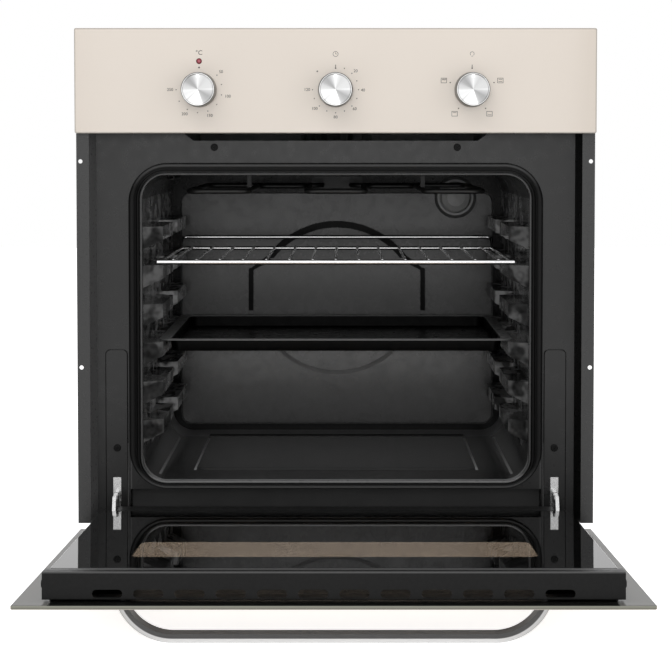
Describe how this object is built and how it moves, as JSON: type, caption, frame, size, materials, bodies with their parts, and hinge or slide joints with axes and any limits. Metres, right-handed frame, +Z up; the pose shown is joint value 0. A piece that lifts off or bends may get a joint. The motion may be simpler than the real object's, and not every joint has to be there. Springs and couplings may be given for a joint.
{
  "type": "built-in oven",
  "caption": "Built-in electric oven with an open drop-down glass door, bow handle, metal knobs, wire rack and baking tray.",
  "frame": {"origin": "middle of the casing's underside, which rests on the cabinet's shelf", "axes": "+X to the right as seen from the front, +Y from the front to the back, +Z up"},
  "size_m": [0.596, 1.0173, 0.5993],
  "materials": {
    "cream_glass": "gloss, back-painted",
    "dark_glass": "gloss, black printed border round a clear window",
    "clear_glass": "clear",
    "red_lens": "gloss",
    "dark_enamel": "gloss enamel",
    "dark_paint": "satin",
    "galvanised": "zinc-coated sheet",
    "bright_steel": "bright",
    "element_steel": "heat-darkened",
    "chrome": "polished",
    "knob_metal": "spun and clear-coated",
    "handle_metal": "satin, bright on the convex side",
    "black_plastic": "matt",
    "black_rubber": "satin",
    "mineral_wool": "matt"
  },
  "bodies": {
    "oven": {"fascia_glass": "cream_glass", "lamp_cover": "clear_glass", "lamp_bulb": "clear_glass", "pilot_lamp": "red_lens", "front_frame": "dark_enamel", "cavity_floor": "dark_enamel", "cavity_ceiling": "dark_enamel", "cavity_side_left": "dark_enamel", "cavity_side_right": "dark_enamel", "cavity_back": "dark_enamel", "side_trim_left": "dark_paint", "side_trim_right": "dark_paint", "casing_screws": "dark_paint", "fascia_carrier": "galvanised", "casing_base": "galvanised", "casing_left": "galvanised", "casing_right": "galvanised", "casing_rear": "galvanised", "casing_top": "galvanised", "air_duct": "galvanised", "fan_housing": "galvanised", "terminal_box": "galvanised", "lamp_holder": "galvanised", "hinge_receiver_left": "bright_steel", "hinge_receiver_right": "bright_steel", "hinge_arm_left": "bright_steel", "hinge_arm_right": "bright_steel", "fan_motor": "bright_steel", "grill_element": "element_steel", "bottom_element": "element_steel", "thermostat_bulb": "element_steel", "thermostat": "black_plastic", "timer": "black_plastic", "function_switch": "black_plastic", "cable_gland": "black_plastic", "door_gasket": "black_rubber", "insulation": "mineral_wool"},
    "door": {"door_outer_glass": "cream_glass", "door_inner_glass": "dark_glass", "door_top_profile": "dark_paint", "door_bottom_profile": "dark_paint", "door_side_profile_left": "dark_paint", "door_side_profile_right": "dark_paint", "door_buffers": "black_plastic", "handle": "handle_metal", "handle_screws": "bright_steel", "hinge_channel_left": "bright_steel", "hinge_channel_right": "bright_steel", "hinge_springs": "bright_steel"},
    "temperature_control": {"temperature_knob": "knob_metal", "temperature_shaft": "bright_steel"},
    "timer_control": {"timer_knob": "knob_metal", "timer_shaft": "bright_steel"},
    "function_control": {"function_knob": "knob_metal", "function_shaft": "bright_steel"},
    "fan": {"fan_impeller": "bright_steel"},
    "latch_left": {"hinge_latch_left": "bright_steel"},
    "latch_right": {"hinge_latch_right": "bright_steel"},
    "rack": {"wire_rack": "chrome"},
    "tray": {"baking_tray": "dark_enamel"}
  },
  "joints": [
    {"name": "door_swing", "type": "hinge", "parent": "oven", "child": "door", "pos_m": [0, -0.286, 0.0015], "axis": [-1, 0, 0], "range_deg": [0, 87]},
    {"name": "temperature_turn", "type": "hinge", "parent": "oven", "child": "temperature_control", "pos_m": [-0.1554, -0.306, 0.505], "axis": [0, 1, 0], "range_deg": [0, 270]},
    {"name": "timer_turn", "type": "hinge", "parent": "oven", "child": "timer_control", "pos_m": [0, -0.306, 0.505], "axis": [0, 1, 0], "range_deg": [-45, 270]},
    {"name": "function_turn", "type": "hinge", "parent": "oven", "child": "function_control", "pos_m": [0.1554, -0.306, 0.505], "axis": [0, 1, 0], "continuous": true},
    {"name": "fan_spin", "type": "hinge", "parent": "oven", "child": "fan", "pos_m": [0, 0.135, 0.48], "axis": [0, 0, 1], "continuous": true},
    {"name": "latch_left_flip", "type": "hinge", "parent": "oven", "child": "latch_left", "pos_m": [-0.253, -0.274, 0.03], "axis": [1, 0, 0], "range_deg": [-90, 0]},
    {"name": "latch_right_flip", "type": "hinge", "parent": "oven", "child": "latch_right", "pos_m": [0.253, -0.274, 0.03], "axis": [1, 0, 0], "range_deg": [-90, 0]},
    {"name": "rack_slide", "type": "slide", "parent": "oven", "child": "rack", "axis": [0, 1, 0], "range_m": [-0.25, 0]},
    {"name": "tray_slide", "type": "slide", "parent": "oven", "child": "tray", "axis": [0, 1, 0], "range_m": [-0.25, 0]}
  ]
}
